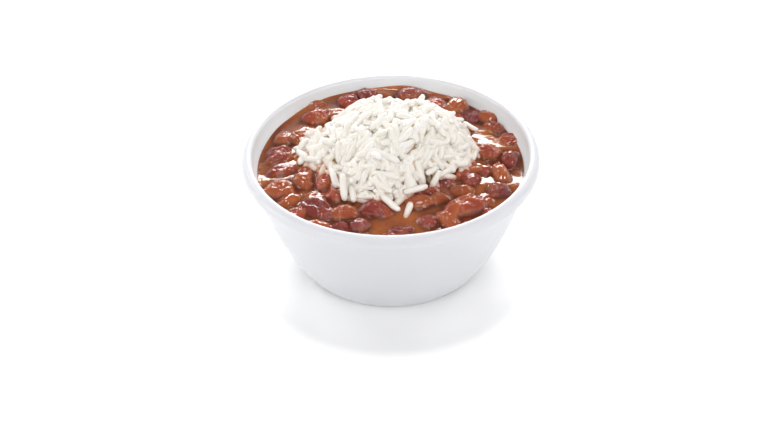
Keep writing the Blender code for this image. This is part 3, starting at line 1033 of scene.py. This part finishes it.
def makeGrains(finish, settled, ground, axis, draw):
    # A grain is rings of radius (1 - |s|^6)^0.5 along its length, tapered, bent by bend (s^2 - 0.35), tilted
    # and turned
    plan = grainPlan
    rows = [list(grain) for grain in settled]
    for x, y, turn, tilt, length, width, lift in plan["strays"]:
        high, _, _ = gravySurface(np.array([x]), np.array([y]))
        level = float(gravyLevel(np.array(x), np.array(y)))
        floor = max(level, min(high[0], level + plan["strayLift"]))
        turn, tilt = np.radians((turn, tilt))
        rows.append([x, y, floor + lift - plan["straySink"], turn, tilt, length, width])
    x, y, z, turn, tilt, length, width = np.array(rows).T[..., None]
    count = len(rows)
    ringAt = np.array(plan["rings"])
    bearing = evenBearings(plan["around"])
    ringRadius = (1 - np.abs(ringAt) ** 6) ** 0.5
    s = np.concatenate(([1], np.repeat(ringAt, plan["around"]), [-1]))
    v = np.concatenate(([0], (ringRadius[:, None] * np.cos(bearing)).ravel(), [0]))
    w = np.concatenate(([0], (ringRadius[:, None] * np.sin(bearing)).ravel(), [0]))
    bend = draw.uniform(-plan["bend"], plan["bend"], (count, 1))
    sag = draw.uniform(*plan["sag"], (count, 1))
    bend[-len(plan["strays"]):] *= plan["strayBend"]
    taper = draw.uniform(-plan["taper"], plan["taper"], (count, 1))
    tone = draw.uniform(0, 1, (count, 1))
    fat = draw.uniform(-plan["fat"], plan["fat"], (count, 1))
    stout = 1 + taper * s + fat * np.sin(draw.uniform(2, 5, (count, 1)) * s + tone * 6)
    along = 0.5 * length * s
    across = 0.5 * width * v * stout + bend * (s ** 2 - 0.35)
    upward = 0.5 * plan["thickness"] * width * w * stout + sag * (s ** 2 - 0.35)
    level = along * np.cos(tilt) - upward * np.sin(tilt)
    px = x + level * np.cos(turn) - across * np.sin(turn)
    py = y + level * np.sin(turn) + across * np.cos(turn)
    pz = z + along * np.sin(tilt) + upward * np.cos(tilt)
    points = np.stack((px, py, pz), axis=-1).reshape(-1, 3)
    px, py, pz = points.T.copy()
    surface, _, _ = gravySurface(px, py)
    soft = readGrid(blurGrid(ground, heapPlan["blur"]), axis, px, py)
    # Painted shade: deep grows from 0 at the blurred ground to 1 at gapShadeDepth below it, inside the heap
    deep = smoothStep(0.0, plan["gapShadeDepth"], soft - pz) * (heapShare(px, py) < 0.97)
    quads, triangles = shellFaces(len(ringAt), plan["around"])
    quads, triangles = repeatFaces(quads, count, len(s)), repeatFaces(triangles, count, len(s))
    attributes = {
        "tone": np.repeat(tone[:, 0], len(s)),
        "ends": np.tile(np.abs(s), count),
        "stain": np.exp(-np.clip(pz - surface, 0, 99) / plan["stain"]),
        "deep": deep,
    }
    print(f"rice: highest point {pz.max():.2f} mm")
    return makePiece("rice_grains", points, quads, triangles, finish, attributes)


def grainFinish():
    # Each grain's own tone, whiter at its ends, clouded, painted warm shade down in the gaps, and stained
    # next to the gravy
    finish, tree, shader = newFinish("cookedRice")
    body = addMix(tree, addAttribute(tree, "tone"), paint(241, 237, 231), paint(237, 232, 222))
    ends = addRange(tree, addAttribute(tree, "ends"), 0.6, 1, 0, 0.5)
    body = addMix(tree, ends, body, paint(239, 237, 234))
    cloud = addRange(tree, addNoise(tree, 260, 4, 0.6), 0.45, 0.75, 0, 0.35)
    body = addMix(tree, cloud, body, paint(237, 228, 208))
    # Painted shade, warm tan, where the grain lies down in the gaps
    deep = addRange(tree, addAttribute(tree, "deep"), 0, 0.8, 0, 0.9)
    body = addMix(tree, deep, body, paint(251, 220, 162))
    stain = addRange(tree, addAttribute(tree, "stain"), 0.1, 1, 0, 0.8)
    setInputs(tree, shader, {
        "Base Color": addMix(tree, stain, body, paint(196, 122, 66)),
        "Roughness": addRange(tree, addNoise(tree, 900, 3), 0.3, 0.7, 0.28, 0.45),
        "Normal": addBump(tree, addNoise(tree, 1600, 3), 0.2, 0.0002),
        "IOR": 1.42,
        "Coat Weight": 0.15,
        "Coat Roughness": 0.2,
    })
    return finish


def coreFinish():
    # Pressed rice: pale and clouded, with painted warm shade where it lies deep, and rough
    finish, tree, shader = newFinish("riceShade")
    cloud = addRange(tree, addNoise(tree, 240, 4), 0.3, 0.7, 0, 1)
    body = addMix(tree, cloud, paint(244, 236, 220), paint(246, 241, 231))
    setInputs(tree, shader, {
        # Painted shade, towards warm tan where the core lies deep
        "Base Color": addMix(tree, addAttribute(tree, "deep"), body, paint(243, 227, 202)),
        "Roughness": addRange(tree, addNoise(tree, 700, 3), 0.3, 0.7, 0.4, 0.6),
        "Normal": addBump(tree, addNoise(tree, 500, 3), 0.6, 0.0008),
    })
    return finish


settled, ground, axis, draw = settleGrains()
riceCore = makeCore(coreFinish(), ground, axis)
riceGrains = makeGrains(grainFinish(), settled, ground, axis, draw)
for piece in (riceCore, riceGrains):
    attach(piece, "root")
    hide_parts("rice_mound")


studioPlan = {
    "floorHalf": 3.0,
    "world": 0.205,
    "lampDistance": 2.5,
    "lampAim": (0, 0, 0.03),
    # name: bearing and elevation, strength, width and depth
    "lamps": {
        "frontHigh": (-90, 60, 0.06, 1.0, 1.0),
        "frontMiddle": (-90, 40, 0.15, 1.0, 1.0),
        "frontLeft": (-135, 25, 0.19, 1.0, 1.0),
        "frontRight": (-45, 25, 0.27, 1.0, 1.0),
        "lowLeft": (180, 12, 0.25, 1.0, 1.0),
        "lowRight": (0, 12, 0.10, 1.0, 1.0),
        "back": (90, 21.8, 0.79, 1.3, 0.8),
        "backLeft": (140, 30, 0.22, 1.0, 1.0),
        "backRight": (40, 30, 0.20, 1.0, 1.0),
        "top": (90, 85, 0.225, 0.42, 0.3),
    },
    "cameraPlace": (0.0, -0.5638, 0.4399),
    "cameraAim": (-0.0005, -0.0033, 0.0206),
    "cameraRoll": -0.847,
    "lens": 71.93,
}


def makeFloor():
    # A wide square, nearly white, with hardly any gloss
    half = studioPlan["floorHalf"]
    finish, tree, shader = newFinish("paleFloor")
    shade = addRange(tree, addNoise(tree, 3, 2), 0.3, 0.7, 0, 1)
    setInputs(tree, shader, {
        "Base Color": addMix(tree, shade, paint(252, 252, 252), paint(254, 254, 254)),
        "Roughness": 0.85,
        "Specular IOR Level": 0.1,
    })
    mesh = bpy.data.meshes.new("floor")
    corners = [(-half, -half, 0), (half, -half, 0), (half, half, 0), (-half, half, 0)]
    mesh.from_pydata(corners, [], [(0, 1, 2, 3)])
    mesh.materials.append(finish)
    floor = bpy.data.objects.new("floor", mesh)
    bpy.context.scene.collection.objects.link(floor)


def makeLight():
    # White from all round, and lamps on a dome that face the bowl. A lamp of strength 1 lights a white
    # surface that faces it to 1, from the lamp's distance: power = (pi distance)^2
    plan = studioPlan
    world = bpy.data.worlds.new("paleRoom")
    world.use_nodes = True
    room = world.node_tree.nodes["Background"]
    room.inputs["Color"].default_value = (1.0, 1.0, 1.0, 1.0)
    room.inputs["Strength"].default_value = plan["world"]
    bpy.context.scene.world = world
    for name, (bearing, elevation, strength, width, depth) in plan["lamps"].items():
        lamp = bpy.data.lights.new(name, "AREA")
        lamp.shape = "RECTANGLE"
        lamp.size, lamp.size_y = width, depth
        lamp.energy = strength * (np.pi * plan["lampDistance"]) ** 2
        turn, lift = np.radians(bearing), np.radians(elevation)
        level = np.cos(lift)
        place = plan["lampDistance"] * Vector((level * np.cos(turn), level * np.sin(turn), np.sin(lift)))
        holder = bpy.data.objects.new(name, lamp)
        holder.location = place
        holder.rotation_euler = (Vector(plan["lampAim"]) - place).to_track_quat("-Z", "Y").to_euler()
        bpy.context.scene.collection.objects.link(holder)


def makeCamera():
    # It looks from its place to its aim, and is rolled about that line
    plan = studioPlan
    lens = bpy.data.cameras.new("camera")
    lens.sensor_width = 36
    lens.lens = plan["lens"]
    lens.clip_start, lens.clip_end = 0.05, 20
    camera = bpy.data.objects.new("camera", lens)
    look = Vector(plan["cameraAim"]) - Vector(plan["cameraPlace"])
    turn = look.to_track_quat("-Z", "Y").to_matrix().to_4x4()
    roll = Matrix.Rotation(np.radians(plan["cameraRoll"]), 4, "Z")
    camera.matrix_world = Matrix.Translation(plan["cameraPlace"]) @ turn @ roll
    bpy.context.scene.collection.objects.link(camera)
    bpy.context.scene.camera = camera
    bpy.context.scene.view_settings.view_transform = "Standard"


makeFloor()
makeLight()
makeCamera()
print("studio: floor, lamps and camera placed")
